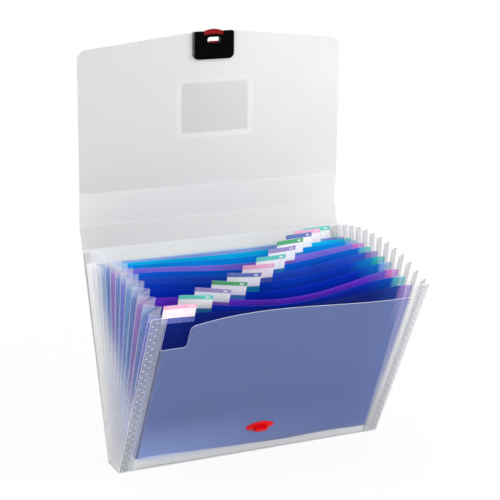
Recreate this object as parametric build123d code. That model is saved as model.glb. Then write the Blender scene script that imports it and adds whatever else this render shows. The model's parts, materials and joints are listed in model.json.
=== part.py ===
from build123d import *

import os
from math import atan2, cos, degrees, hypot, radians, sin, sqrt, tan

# Accordion file: a wallet of frosted sheet whose pockets fan open between two pleated gussets.
# Millimetres. +X runs along the width, +Y to the back, +Z up.
# The origin is the middle of the base panel's underside.

# Wallet
file_width = 335.0
base_depth = 36.0
gusset_height = 246.4
crease_rise = 3.6
top_panel_length = 27.5
band_length = 40.0
cover_sheet = 0.8
corner_radius = 3.0

# Creases: each panel turns on a bead that lies along its own crease
crease_bead = 0.55
crease_gap = 0.3
floor_gap = 0.2

# Fan of pockets as it stands open, in degrees from upright
pocket_count = 13
front_lean_deg = 28.2
back_lean_deg = 17.8
band_lean_deg = 5.8
flap_lean_deg = 1.5

# Turns that shut the wallet, in degrees
fold_close_deg = 30.0
top_panel_close_deg = 75.0

# Gussets and the strips that weld them to the covers
pleat_depth = 17.5
gusset_film = 0.35
weld_clearance = 0.4
strip_edge = 0.6

# Front cover's top edge and its thumb notch
notch_width = 30.0
notch_depth = 49.4
notch_floor_radius = 4.0
notch_lip_radius = 8.0
front_left_drop = 16.9
front_crest_drop = 9.0
front_mid_drop = 14.1
front_right_drop = 18.0
front_crest_share = -0.28
front_mid_share = 0.32

# Dividers, with a clear sleeve and a paper label on each
divider_sheet = 0.4
divider_bead = 0.4
divider_drop = 13.4
divider_corner_radius = 5.0
sleeve_width = 38.0
sleeve_rise = 14.0
sleeve_lap = 11.5
sleeve_leaf = 0.2
sleeve_play = 0.05
sleeve_margin = 1.6
tab_card_sheet = 0.3
tab_card_margin = 0.5
tab_card_lap = 4.0

# Flap
flap_peak = 15.0
flap_flat_width = 54.0
flap_corner_radius = 12.0
flap_flat_radius = 25.0

# Label pocket on the flap's outer face
label_card_width = 85.0
label_card_length = 58.5
label_card_sheet = 0.3
label_pocket_border = 5.5
label_pocket_film = 0.25
label_play = 0.05
label_side_play = 1.0
label_offset = 3.0
label_clasp_gap = 21.75
label_corner_radius = 1.5

# Clasp at the end of the flap
clasp_width = 52.0
clasp_length = 33.0
clasp_overhang = 1.0
clasp_foot_radius = 7.0
clasp_head_radius = 2.5
clasp_wall = 1.8
clasp_edge_radius = 1.0
back_plate_thickness = 2.0
back_plate_inset = 1.0
eye_width = 17.2
eye_length = 7.0
eye_drop = 10.2
eye_rim = 1.0
eye_bead = 0.5
peg_radius = 1.5
peg_play = 0.05
peg_hole_play = 0.15
peg_spread = 38.0
peg_foot_rise = 6.0
peg_head_drop = 6.5
peg_end_gap = 0.3
bump_radius = 1.1
bump_spread = 9.4
bump_drop = 6.8

# Latch that slides in the clasp
latch_width = 25.6
latch_sheet = 1.6
latch_play = 0.2
latch_foot_margin = 7.3
latch_shoulder_drop = 0.6
latch_crown_rise = 3.0
latch_travel = 2.2
latch_lip_width = 11.6
latch_lip_reach = 1.8
latch_window_margin = 0.9
latch_mouth_margin = 1.7
spring_room = 8.0
spring_width = 15.0
spring_wire = 0.9
spring_end_gap = 0.2
spring_runs = 5

# Stud on the front cover
stud_height = 44.8
stud_base_width = 36.0
stud_base_length = 16.0
stud_base_flat = 14.0
stud_base_thickness = 1.6
stud_base_radius = 2.0
stud_post_width = 15.4
stud_post_length = 5.0
stud_post_radius = 1.6
stud_catch_depth = 1.2
stud_catch_gap = 0.35
stud_edge_radius = 0.6
stud_pin_radius = 1.8
stud_pin_spread = 18.0
stud_plate_thickness = 1.1
stud_plate_border = 3.0
clasp_gap = 0.6
cut_overrun = 2.0

half_width = file_width / 2
inner_fold = half_width - pleat_depth
half_cover = cover_sheet / 2
panel_end = crease_bead + crease_gap

# Heights up the covers and dividers, from the gussets' height
crease_height = gusset_height + crease_rise
notch_floor_height = gusset_height - notch_depth
front_left_height = gusset_height - front_left_drop
front_crest_height = gusset_height - front_crest_drop
front_mid_height = gusset_height - front_mid_drop
front_right_height = gusset_height - front_right_drop
divider_height = gusset_height - divider_drop
sleeve_top_height = divider_height + sleeve_rise
sleeve_foot_height = divider_height - sleeve_lap


def lean_direction(lean_deg):
    """Unit vector up a panel that leans back by this angle."""
    return Vector(0, sin(radians(lean_deg)), cos(radians(lean_deg)))


def panel_place(axis, lean_deg):
    """Location whose X lies along a crease, Y runs up the leaning panel and Z faces the front."""
    facing = Vector(0, -cos(radians(lean_deg)), sin(radians(lean_deg)))
    return Plane(origin=axis, x_dir=(1, 0, 0), z_dir=facing).location


def fan_lean(step):
    """Lean of a sheet of the fan, from the front cover at 0 to the back cover at pocket_count."""
    return -front_lean_deg + (front_lean_deg + back_lean_deg) * step / pocket_count


def fan_axis(step):
    """Point on the crease that a sheet of the fan turns on."""
    cover = step in (0, pocket_count)
    height = floor_gap + crease_bead if cover else cover_sheet + crease_gap + divider_bead
    return Vector(0, base_depth * (step / pocket_count - 0.5), height)


def sheet(outline, thickness):
    """Sheet of this thickness, halved by the plane of its outline."""
    return extrude(outline, thickness / 2, both=True)


def bead(length, radius):
    """Round bead along X through the origin."""
    return Rot(0, 90, 0) * Cylinder(radius, length)


def raised(shape, height):
    """Shape moved off its panel along the panel's normal."""
    return Pos(0, 0, height) * shape


def rounded(outline, radius, *corners):
    """Outline with the corners that lie nearest to these points rounded."""
    found = [min(outline.vertices(), key=lambda v: (Vector(v) - Vector(*c)).length) for c in corners]
    return fillet(found, radius)


def plain_panel(length):
    """Full-width panel from its own bead to just short of the next crease."""
    body = Pos(0, (length - panel_end) / 2) * Rectangle(file_width, length - panel_end)
    return sheet(body, cover_sheet) + bead(file_width, crease_bead)


def upright_box(width, low, high, thickness, middle=0):
    """Plate in panel terms: centred across, between two heights, halved by the panel's plane."""
    return Pos(middle, (low + high) / 2) * Box(width, high - low, thickness)


# Creases of the wallet as it stands open
front_axis = fan_axis(0)
back_axis = fan_axis(pocket_count)
top_panel_axis = back_axis + lean_direction(back_lean_deg) * crease_height
band_axis = top_panel_axis + lean_direction(back_lean_deg) * top_panel_length
flap_axis = band_axis + lean_direction(-band_lean_deg) * band_length

# The shut wallet: the flap hangs from the top panel and its eye drops over the stud
clasp_depth = latch_sheet + 2 * latch_play
clasp_thickness = clasp_depth + clasp_wall
clasp_standoff = cover_sheet + stud_base_thickness + clasp_gap + clasp_thickness
over_close_share = fold_close_deg / front_lean_deg - 1
shut_front_lean = front_lean_deg * over_close_share
shut_back_lean = -back_lean_deg * over_close_share
shut_top_lean = shut_back_lean - top_panel_close_deg
shut_top_axis = back_axis + lean_direction(shut_back_lean) * crease_height
shut_band_axis = shut_top_axis + lean_direction(shut_top_lean) * top_panel_length
shut_facing = Vector(0, -cos(radians(shut_front_lean)), sin(radians(shut_front_lean)))
hang_out = clasp_standoff - (shut_band_axis - front_axis).dot(shut_facing)
hang_drop = (shut_band_axis - front_axis).dot(lean_direction(shut_front_lean)) - stud_height
hang_lean = shut_front_lean - 180 + degrees(atan2(hang_out, hang_drop))
band_close_deg = shut_top_lean - hang_lean - (back_lean_deg + band_lean_deg)
flap_close_deg = band_lean_deg - flap_lean_deg
shut_turns = (top_panel_close_deg, band_close_deg, flap_close_deg)
print("shutting turns of the three flap creases:", *[f"{turn:.2f}" for turn in shut_turns])

# Heights up the flap: its eye reaches the stud, and the rest follows from the eye and the clasp
eye_middle_height = hypot(hang_out, hang_drop) - band_length
eye_top_height = eye_middle_height + eye_length / 2
eye_foot_height = eye_middle_height - eye_length / 2
clasp_top_height = eye_middle_height + eye_drop
clasp_foot_height = clasp_top_height - clasp_length
flap_length = clasp_top_height - clasp_overhang
flap_side_length = flap_length - flap_peak
bump_height = eye_foot_height - bump_drop
latch_mouth_height = eye_top_height + latch_mouth_margin
latch_foot_height = eye_foot_height - latch_foot_margin
latch_shoulder_height = clasp_top_height - latch_shoulder_drop
latch_crown_height = latch_shoulder_height + latch_crown_rise
spring_floor_height = latch_foot_height - spring_room
label_pocket_length = label_card_length + 2 * (label_side_play + label_pocket_border)
label_middle_height = clasp_foot_height - label_clasp_gap - label_pocket_length / 2
print(f"flap {flap_length:.2f} mm long")


def base_panel():
    """Flat base between the beads of the two covers."""
    depth = base_depth - 2 * panel_end
    return Pos(0, 0, half_cover) * Box(file_width, depth, cover_sheet)


def front_cover():
    """Front cover with its swept top edge, the thumb notch at the left and the stud's pin holes."""
    step_x = inner_fold - strip_edge
    notch_x = notch_width - step_x
    lip_x = notch_x + notch_lip_radius
    lip_slack = notch_lip_radius * (1 - sqrt(0.5))
    lip_foot = (notch_x, front_left_height - notch_lip_radius)
    lip_head = (lip_x, front_left_height)
    sides = Polyline(
        (step_x, front_right_height),
        (step_x, gusset_height),
        (half_width, gusset_height),
        (half_width, 0),
        (-half_width, 0),
        (-half_width, gusset_height),
        (-step_x, gusset_height),
        (-step_x, notch_floor_height),
        (notch_x, notch_floor_height),
        lip_foot,
    )
    lip = ThreePointArc(lip_foot, (notch_x + lip_slack, front_left_height - lip_slack), lip_head)
    crest = (half_width * front_crest_share, front_crest_height)
    middle = (half_width * front_mid_share, front_mid_height)
    top_edge = Spline(lip_head, crest, middle, (step_x, front_right_height))
    outline = make_face([*sides.edges(), lip, top_edge])
    outline = rounded(outline, notch_floor_radius, (notch_x, notch_floor_height))
    outer_corners = [(side * half_width, gusset_height) for side in (-1, 1)]
    outline = rounded(outline, corner_radius, *outer_corners)
    holes = stud_pins(stud_pin_radius + peg_hole_play)
    return sheet(outline, cover_sheet) + bead(file_width, crease_bead) - holes


def stud_pins(radius):
    """Pair of pins through the front cover at the stud."""
    spots = [Pos(side * stud_pin_spread / 2, stud_height) for side in (-1, 1)]
    length = 2 * (cover_sheet + stud_plate_thickness)
    return Part() + [spot * Cylinder(radius, length) for spot in spots]


def stud():
    """Stud: a six-sided foot, a post with a catch on its upper side, and two pins for the back plate."""
    points = [
        (side_x * reach / 2, side_y * stud_base_length / 2)
        for side_x, side_y, reach in (
            (1, 1, stud_base_flat),
            (-1, 1, stud_base_flat),
            (-1, 0, stud_base_width),
            (-1, -1, stud_base_flat),
            (1, -1, stud_base_flat),
            (1, 0, stud_base_width),
        )
    ]
    foot_outline = make_face(Polyline(*points, close=True))
    foot_outline = fillet(foot_outline.vertices(), stud_base_radius)
    foot = extrude(foot_outline, stud_base_thickness)
    foot = fillet(foot.faces().sort_by(Axis.Z)[-1].edges(), stud_edge_radius)
    post_top = clasp_standoff + half_cover
    post = extrude(RectangleRounded(stud_post_width, stud_post_length, stud_post_radius), post_top)
    post = fillet(post.faces().sort_by(Axis.Z)[-1].edges(), stud_edge_radius)
    catch_height = clasp_standoff - half_cover - cover_sheet - latch_play - latch_sheet / 2
    catch = Box(latch_lip_width + 2 * stud_catch_gap, 2 * stud_catch_depth, latch_sheet + 2 * stud_catch_gap)
    catch = Pos(0, stud_post_length / 2, catch_height) * catch
    body = Pos(0, stud_height, half_cover) * (foot + (post - catch))
    pins = stud_pins(stud_pin_radius) & raised(
        upright_box(stud_base_width, stud_height - stud_base_length, stud_height + stud_base_length,
                    cover_sheet + stud_plate_thickness),
        -stud_plate_thickness / 2,
    )
    return body + pins


def stud_back_plate():
    """Plate inside the front cover that holds the stud's two pins."""
    width = stud_pin_spread + 2 * (stud_pin_radius + stud_plate_border)
    length = 2 * (stud_pin_radius + stud_plate_border)
    plate = SlotOverall(width, length)
    plate = raised(extrude(Pos(0, stud_height) * plate, -stud_plate_thickness), -half_cover)
    return plate - stud_pins(stud_pin_radius + peg_play)


def back_cover():
    """Plain back cover up to the first crease of the flap."""
    return plain_panel(crease_height)


def weld_strip(side, inward):
    """Strip of gusset film welded to a cover's inner face. side is -1 left, 1 right; inward is the face."""
    low = panel_end + strip_edge
    width = pleat_depth - 2 * strip_edge
    middle = side * (inner_fold + pleat_depth / 2)
    strip = upright_box(width, low, gusset_height - strip_edge, gusset_film, middle)
    return raised(strip, inward * (half_cover + gusset_film / 2))


def divider():
    """Tinted divider sheet on its own crease bead."""
    width = 2 * (inner_fold - weld_clearance)
    outline = Pos(0, divider_height / 2) * Rectangle(width, divider_height)
    corners = [(side * width / 2, divider_height) for side in (-1, 1)]
    outline = rounded(outline, divider_corner_radius, *corners)
    return sheet(outline, divider_sheet) + bead(width, divider_bead)


def tab_place(number):
    """Middle of a divider's tab across the width; the tabs step evenly from left to right."""
    reach = inner_fold - weld_clearance - sleeve_margin - sleeve_width / 2
    return reach * (2 * (number - 1) / (pocket_count - 2) - 1)


def tab_sleeve(number):
    """Clear folded sleeve that straddles the divider's top edge and the label before it."""
    slot = divider_sheet + tab_card_sheet + 3 * sleeve_play
    thickness = slot + 2 * sleeve_leaf
    middle = tab_place(number)
    outside = upright_box(sleeve_width, sleeve_foot_height, sleeve_top_height, thickness, middle)
    room_foot = sleeve_foot_height - cut_overrun
    room_top = sleeve_top_height - sleeve_leaf
    room = upright_box(sleeve_width + cut_overrun, room_foot, room_top, slot, middle)
    return raised(outside - room, (tab_card_sheet + sleeve_play) / 2)


def tab_card(number):
    """Paper label in the sleeve, lapping the divider's front face."""
    foot = divider_height - tab_card_lap
    top = sleeve_top_height - sleeve_leaf - sleeve_play
    width = sleeve_width - 2 * tab_card_margin
    card = upright_box(width, foot, top, tab_card_sheet, tab_place(number))
    return raised(card, (divider_sheet + tab_card_sheet) / 2 + sleeve_play)


def gusset(side):
    """Pleated film between the covers: inner folds at the dividers and outer folds between them."""
    pitch_foot = base_depth / pocket_count / 2
    pitch_head = pitch_foot + gusset_height * radians(front_lean_deg + back_lean_deg) / pocket_count / 2
    film_foot = gusset_film * hypot(pitch_foot, pleat_depth) / pitch_foot
    film_head = gusset_film * hypot(pitch_head, pleat_depth) / pitch_head
    set_back = half_cover + gusset_film + crease_gap
    rows = []
    for half_step in range(2 * pocket_count + 1):
        step = half_step / 2
        axis = fan_axis(step)
        lean = fan_lean(step)
        inset = {0: set_back, 2 * pocket_count: -set_back}.get(half_step, 0) / cos(radians(lean))
        foot_y = axis.Y + (cover_sheet - axis.Z) * tan(radians(lean)) + inset
        head = axis + lean_direction(lean) * gusset_height
        is_outer = half_step % 2
        foot_x = half_width - film_foot if is_outer else inner_fold
        head_x = half_width - film_head if is_outer else inner_fold
        foot_pair = [Vector(side * (foot_x + film), foot_y, cover_sheet) for film in (0, film_foot)]
        head_pair = [Vector(side * (head_x + film), head.Y + inset, head.Z) for film in (0, film_head)]
        rows.append((*foot_pair, *head_pair))
    faces = []
    for (foot_a, skin_a, head_a, crown_a), (foot_b, skin_b, head_b, crown_b) in zip(rows, rows[1:]):
        faces += [(foot_a, foot_b, head_b), (foot_a, head_b, head_a)]
        faces += [(skin_a, skin_b, crown_b), (skin_a, crown_b, crown_a)]
        faces += [(foot_a, foot_b, skin_b, skin_a), (head_a, head_b, crown_b, crown_a)]
    for foot, skin, head, crown in (rows[0], rows[-1]):
        faces.append((foot, skin, crown, head))
    return Solid(Shell([Face(Wire.make_polygon(points)) for points in faces]))


def top_panel():
    """Panel over the pockets' mouths when the wallet is shut."""
    return plain_panel(top_panel_length)


def flap_band():
    """Band between the flap's second and third creases."""
    return plain_panel(band_length)


def eye(clearance, thickness):
    """Oval bar in the place of the clasp's eye."""
    outline = SlotOverall(eye_width + 2 * clearance, eye_length + 2 * clearance)
    return Pos(0, eye_middle_height) * sheet(outline, thickness)


def pegs(radius, low, high):
    """Four pegs of the clasp between two levels off the flap's plane."""
    heights = (clasp_foot_height + peg_foot_rise, clasp_top_height - peg_head_drop)
    spots = [Pos(side * peg_spread / 2, height) for side in (-1, 1) for height in heights]
    return Part() + [spot * raised(Cylinder(radius, high - low), (low + high) / 2) for spot in spots]


def flap():
    """Flap with its peaked end, rounded corners, the eye and the clasp's peg holes."""
    outline = make_face(
        Polyline(
            (-half_width, 0),
            (-half_width, flap_side_length),
            (-flap_flat_width / 2, flap_length),
            (flap_flat_width / 2, flap_length),
            (half_width, flap_side_length),
            (half_width, 0),
            close=True,
        )
    )
    sides = [(side * half_width, flap_side_length) for side in (-1, 1)]
    flats = [(side * flap_flat_width / 2, flap_length) for side in (-1, 1)]
    outline = rounded(rounded(outline, flap_corner_radius, *sides), flap_flat_radius, *flats)
    body = sheet(outline, cover_sheet) + bead(file_width, crease_bead)
    body -= eye(eye_rim, cover_sheet + cut_overrun)
    return body - pegs(peg_radius + peg_hole_play, -cover_sheet, cover_sheet)


def label_pocket():
    """Clear pocket welded to the flap's outer face on three sides and open towards the clasp."""
    slot = label_card_sheet + 2 * label_play
    width = label_card_width + 2 * (label_side_play + label_pocket_border)
    thickness = slot + label_pocket_film
    body = raised(Box(width, label_pocket_length, thickness), -half_cover - thickness / 2)
    room_length = label_pocket_length - label_pocket_border + cut_overrun
    room = Box(label_card_width + 2 * label_side_play, room_length, slot)
    room = Pos(0, (label_pocket_border + cut_overrun) / 2, -half_cover - slot / 2) * room
    return Pos(label_offset, label_middle_height) * (body - room)


def label_card():
    """Blank card in the label pocket."""
    level = -half_cover - label_play - label_card_sheet / 2
    card = RectangleRounded(label_card_width, label_card_length, label_corner_radius)
    return Pos(label_offset, label_middle_height, level) * sheet(card, label_card_sheet)


def clasp_outline(inset):
    """Clasp's outline: wide round corners at the foot and tight ones at the end of the flap."""
    width = clasp_width - 2 * inset
    length = clasp_length - 2 * inset
    outline = Pos(0, clasp_top_height - clasp_length / 2) * Rectangle(width, length)
    foot = clasp_foot_height + inset
    head = clasp_top_height - inset
    outline = rounded(outline, clasp_foot_radius - inset, (-width / 2, foot), (width / 2, foot))
    return rounded(outline, clasp_head_radius - inset, (-width / 2, head), (width / 2, head))


def clasp_shell():
    """Moulded shell on the flap's inner face, with the latch's channel, mouth and eye."""
    body = extrude(clasp_outline(0), clasp_thickness)
    body = fillet(body.faces().sort_by(Axis.Z)[-1].edges(), clasp_edge_radius)
    bumps = [Pos(side * bump_spread / 2, bump_height, clasp_thickness) for side in (-1, 1)]
    body += [bump * Sphere(bump_radius) for bump in bumps]
    channel_width = latch_width + 2 * latch_play
    channel_top = clasp_top_height + cut_overrun
    channel = upright_box(channel_width, spring_floor_height, channel_top, 2 * clasp_depth)
    mouth = extrude(mouth_outline(channel_width), clasp_thickness + cut_overrun)
    mouth = Pos(0, latch_mouth_height) * mouth
    body = body - channel - mouth - eye(0, 2 * (clasp_thickness + cut_overrun))
    rim = Pos(0, eye_middle_height, clasp_thickness) * eye_ring()
    holes = pegs(peg_radius + peg_play, -clasp_depth, clasp_depth)
    return raised(body + rim - holes, half_cover)


def mouth_outline(width):
    """Crescent mouth that shows the latch: a bowed lower edge and straight sides."""
    head = clasp_top_height - latch_mouth_height + cut_overrun
    rise = (latch_crown_height - latch_shoulder_height) / 2
    edges = [
        ThreePointArc((-width / 2, 0), (0, rise), (width / 2, 0)),
        *Polyline((width / 2, 0), (width / 2, head), (-width / 2, head), (-width / 2, 0)).edges(),
    ]
    return make_face(edges)


def eye_ring():
    """Low raised rim around the eye."""
    outside = SlotOverall(eye_width + 2 * eye_rim, eye_length + 2 * eye_rim)
    return extrude(outside - SlotOverall(eye_width, eye_length), eye_bead / 2, both=True)


def clasp_back_plate():
    """Plate on the flap's outer face whose four pegs pass through the flap into the shell."""
    body = extrude(clasp_outline(back_plate_inset), -back_plate_thickness)
    body = fillet(body.faces().sort_by(Axis.Z)[0].edges(), clasp_edge_radius)
    body = raised(body - eye(0, 2 * (back_plate_thickness + cut_overrun)), -half_cover)
    peg_low = -half_cover - back_plate_thickness / 2
    return body + pegs(peg_radius, peg_low, half_cover + clasp_depth - peg_end_gap)


def latch():
    """Sliding latch: an arched push end, a window around the eye and the lip that catches the stud."""
    half = latch_width / 2
    edges = [
        *Polyline(
            (-half, latch_shoulder_height),
            (-half, latch_foot_height),
            (half, latch_foot_height),
            (half, latch_shoulder_height),
        ).edges(),
        ThreePointArc((half, latch_shoulder_height), (0, latch_crown_height), (-half, latch_shoulder_height)),
    ]
    outline = make_face(edges)
    window_low = eye_foot_height - latch_play
    window_high = eye_top_height + latch_travel + latch_play
    window_width = eye_width + 2 * latch_window_margin
    window = Pos(0, (window_low + window_high) / 2) * Rectangle(window_width, window_high - window_low)
    lip_high = eye_foot_height + latch_lip_reach
    lip = Pos(0, (window_low + lip_high) / 2) * Rectangle(latch_lip_width, lip_high - window_low)
    outline = outline - (window - lip)
    return raised(extrude(outline, latch_sheet), half_cover + latch_play)


def latch_spring():
    """Flat serpentine spring between the channel's floor and the latch."""
    low = spring_floor_height + spring_end_gap + spring_wire / 2
    high = latch_foot_height - spring_end_gap - spring_wire / 2
    points = []
    for run in range(spring_runs):
        height = low + (high - low) * run / (spring_runs - 1)
        ends = [(side * (spring_width - spring_wire) / 2, height) for side in (-1, 1)]
        points += ends if run % 2 == 0 else ends[::-1]
    wire = offset(Polyline(*points), spring_wire / 2, kind=Kind.INTERSECTION, side=Side.BOTH)
    return raised(extrude(make_face(wire), latch_sheet), half_cover + latch_play)


front_place = panel_place(front_axis, -front_lean_deg)
back_place = panel_place(back_axis, back_lean_deg)
top_panel_place = panel_place(top_panel_axis, back_lean_deg)
band_place = panel_place(band_axis, -band_lean_deg)
flap_place = panel_place(flap_axis, -flap_lean_deg)

nodes = {
    "base_panel": base_panel(),
    "front_cover": front_place * front_cover(),
    "stud": front_place * stud(),
    "stud_back_plate": front_place * stud_back_plate(),
    "front_left_weld_strip": front_place * weld_strip(-1, -1),
    "front_right_weld_strip": front_place * weld_strip(1, -1),
    "left_gusset": gusset(-1),
    "right_gusset": gusset(1),
    "back_cover": back_place * back_cover(),
    "back_left_weld_strip": back_place * weld_strip(-1, 1),
    "back_right_weld_strip": back_place * weld_strip(1, 1),
    "top_panel": top_panel_place * top_panel(),
    "flap_band": band_place * flap_band(),
    "flap": flap_place * flap(),
    "label_pocket": flap_place * label_pocket(),
    "label_card": flap_place * label_card(),
    "clasp_shell": flap_place * clasp_shell(),
    "clasp_back_plate": flap_place * clasp_back_plate(),
    "latch": flap_place * latch(),
    "latch_spring": flap_place * latch_spring(),
}
for number in range(1, pocket_count):
    place = panel_place(fan_axis(number), fan_lean(number))
    nodes[f"divider_{number:02d}"] = place * divider()
    nodes[f"tab_sleeve_{number:02d}"] = place * tab_sleeve(number)
    nodes[f"tab_card_{number:02d}"] = place * tab_card(number)

os.makedirs("parts", exist_ok=True)
for name, shape in nodes.items():
    export_step(shape, f"parts/{name}.step")
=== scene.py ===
"""Looks of an accordion file: frosted wallet, pleated gussets, tinted dividers with tabs, and a clasp.

Sizes are in millimetres and degrees. Meshes, lamps and the camera are in metres, in the frame of the
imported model: X across, Y to the back, Z up.
"""

import json
import logging
import math
from contextlib import contextmanager
from dataclasses import dataclass, field, replace
from enum import Enum
from functools import reduce
from pathlib import Path
from typing import Callable, Iterator, Sequence

import bpy
from mathutils import Color, Vector
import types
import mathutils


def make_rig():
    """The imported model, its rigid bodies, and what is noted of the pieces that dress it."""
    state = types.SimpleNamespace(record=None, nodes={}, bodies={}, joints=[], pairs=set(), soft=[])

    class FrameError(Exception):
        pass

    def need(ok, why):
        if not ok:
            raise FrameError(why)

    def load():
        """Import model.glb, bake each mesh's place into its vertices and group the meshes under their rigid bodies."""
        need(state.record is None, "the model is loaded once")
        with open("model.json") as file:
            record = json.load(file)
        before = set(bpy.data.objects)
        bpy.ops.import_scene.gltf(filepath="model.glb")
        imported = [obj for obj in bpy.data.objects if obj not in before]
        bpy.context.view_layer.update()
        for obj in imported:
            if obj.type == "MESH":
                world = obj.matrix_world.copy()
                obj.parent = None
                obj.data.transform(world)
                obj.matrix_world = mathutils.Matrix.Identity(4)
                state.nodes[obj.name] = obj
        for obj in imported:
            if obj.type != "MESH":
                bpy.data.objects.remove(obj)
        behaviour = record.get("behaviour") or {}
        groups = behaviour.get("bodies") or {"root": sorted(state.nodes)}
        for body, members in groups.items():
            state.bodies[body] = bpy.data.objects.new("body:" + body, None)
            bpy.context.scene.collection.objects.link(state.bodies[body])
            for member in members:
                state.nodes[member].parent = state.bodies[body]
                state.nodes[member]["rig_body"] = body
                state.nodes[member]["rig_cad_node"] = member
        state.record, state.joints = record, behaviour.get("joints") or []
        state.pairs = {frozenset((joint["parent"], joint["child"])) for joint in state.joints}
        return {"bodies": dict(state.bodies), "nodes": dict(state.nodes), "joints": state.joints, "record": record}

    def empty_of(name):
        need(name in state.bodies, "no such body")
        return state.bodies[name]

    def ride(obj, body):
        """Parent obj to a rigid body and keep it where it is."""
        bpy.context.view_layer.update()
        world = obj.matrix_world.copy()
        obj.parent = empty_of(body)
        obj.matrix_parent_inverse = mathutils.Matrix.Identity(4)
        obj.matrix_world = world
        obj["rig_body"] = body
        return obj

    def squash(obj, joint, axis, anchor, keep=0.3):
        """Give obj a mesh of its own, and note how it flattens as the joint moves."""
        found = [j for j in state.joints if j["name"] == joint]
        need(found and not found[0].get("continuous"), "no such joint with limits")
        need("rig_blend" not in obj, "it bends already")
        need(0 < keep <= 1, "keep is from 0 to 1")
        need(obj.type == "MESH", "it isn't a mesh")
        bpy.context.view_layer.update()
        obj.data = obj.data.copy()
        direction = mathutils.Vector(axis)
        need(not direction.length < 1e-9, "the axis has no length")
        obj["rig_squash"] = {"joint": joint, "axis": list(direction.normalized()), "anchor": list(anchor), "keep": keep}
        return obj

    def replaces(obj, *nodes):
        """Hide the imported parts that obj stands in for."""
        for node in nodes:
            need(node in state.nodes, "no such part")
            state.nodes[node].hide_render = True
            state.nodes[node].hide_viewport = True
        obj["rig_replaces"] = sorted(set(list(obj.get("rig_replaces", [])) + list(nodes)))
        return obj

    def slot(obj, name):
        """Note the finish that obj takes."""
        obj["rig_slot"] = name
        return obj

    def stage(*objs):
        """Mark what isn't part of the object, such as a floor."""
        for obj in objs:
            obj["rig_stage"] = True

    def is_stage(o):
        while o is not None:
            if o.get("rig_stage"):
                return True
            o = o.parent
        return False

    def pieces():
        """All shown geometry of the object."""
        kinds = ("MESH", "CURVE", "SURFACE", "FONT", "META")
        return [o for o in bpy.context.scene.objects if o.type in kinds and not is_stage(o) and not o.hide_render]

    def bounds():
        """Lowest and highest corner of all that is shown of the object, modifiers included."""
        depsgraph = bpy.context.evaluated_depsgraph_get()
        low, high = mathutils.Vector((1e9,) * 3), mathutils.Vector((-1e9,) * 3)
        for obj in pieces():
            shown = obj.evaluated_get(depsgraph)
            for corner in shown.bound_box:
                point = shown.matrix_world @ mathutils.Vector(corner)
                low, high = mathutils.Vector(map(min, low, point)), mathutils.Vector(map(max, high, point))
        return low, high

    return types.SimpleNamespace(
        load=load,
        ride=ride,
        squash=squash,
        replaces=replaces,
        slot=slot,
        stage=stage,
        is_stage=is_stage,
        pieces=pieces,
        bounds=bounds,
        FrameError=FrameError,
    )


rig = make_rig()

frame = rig.load()
CAD_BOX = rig.bounds()
LOG = logging.getLogger("accordion_file")
SIZE_FILE = Path("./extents.json")

Pair = tuple[float, float]
Triple = tuple[float, float, float]
Colour = tuple[float, float, float]
Shape = Callable[[float, float], Vector]
Socket = bpy.types.NodeSocket
Piece = bpy.types.Object
Material = bpy.types.Material

MM = 0.001
WHITE = (1.0, 1.0, 1.0)
BRIGHTEST = 0.95
NOISE_SPREAD = (0.3, 0.7)


def srgb(red: int, green: int, blue: int) -> Colour:
    """Linear colour of a display colour given in 0 to 255."""
    return tuple(Color((red / 255, green / 255, blue / 255)).from_srgb_to_scene_linear())


def mixed(start: Colour, end: Colour, share: float) -> Colour:
    """Colour that lies this share of the way from start to end."""
    return tuple(a + (b - a) * share for a, b in zip(start, end))


def brighter(colour: Colour, gain: float) -> Colour:
    """Colour with each channel raised by a gain and held below white."""
    return tuple(min(channel * gain, BRIGHTEST) for channel in colour)


def smooth_step(low: float, high: float, value: float) -> float:
    """0 below low and 1 above high, with a soft rise between."""
    share = min(max((value - low) / (high - low), 0.0), 1.0)
    return share * share * (3 - 2 * share)


@dataclass(frozen=True)
class Panel:
    """Leaning sheet on a crease along X, by the crease's place and the lean from upright.

    A place on it is x across, s up the sheet and w off its middle towards its front face.
    """

    y: float
    z: float
    lean: float

    def point(self, x: float, s: float, w: float = 0.0) -> Vector:
        """Point in metres of a place on the sheet."""
        sine, cosine = math.sin(math.radians(self.lean)), math.cos(math.radians(self.lean))
        return Vector((x, self.y + s * sine - w * cosine, self.z + s * cosine + w * sine)) * MM

    def facing(self) -> Vector:
        """Unit vector off the sheet's front face."""
        return (self.point(0, 0, 1) - self.point(0, 0)).normalized()

    def above(self, s: float, lean: float) -> "Panel":
        """Next panel, on a crease at height s of this one, with a lean of its own."""
        crease = self.point(0, s) / MM
        return Panel(crease.y, crease.z, lean)


@dataclass(frozen=True)
class Fan:
    """Spread of the sheets, from the front cover at step 0 to the back cover at the last step."""

    pockets: int = 13
    base_depth: float = 36.0
    front_lean: float = 28.2
    back_lean: float = 17.8
    cover_axis: float = 0.75
    divider_axis: float = 1.5

    def sheet(self, step: float) -> Panel:
        """Panel of one sheet, or of an outer fold at a half step.

        Args:
            step: Place in the fan, counted from the front cover.

        Returns:
            The panel.
        """
        share = step / self.pockets
        lean = -self.front_lean + (self.front_lean + self.back_lean) * share
        height = self.cover_axis if step in (0, self.pockets) else self.divider_axis
        return Panel(self.base_depth * (share - 0.5), height, lean)

    def body(self, step: int) -> str:
        """Name of the body that a sheet belongs to."""
        covers = {0: "front_cover", self.pockets: "back_cover"}
        return covers.get(step, f"divider_{step:02d}")


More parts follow.
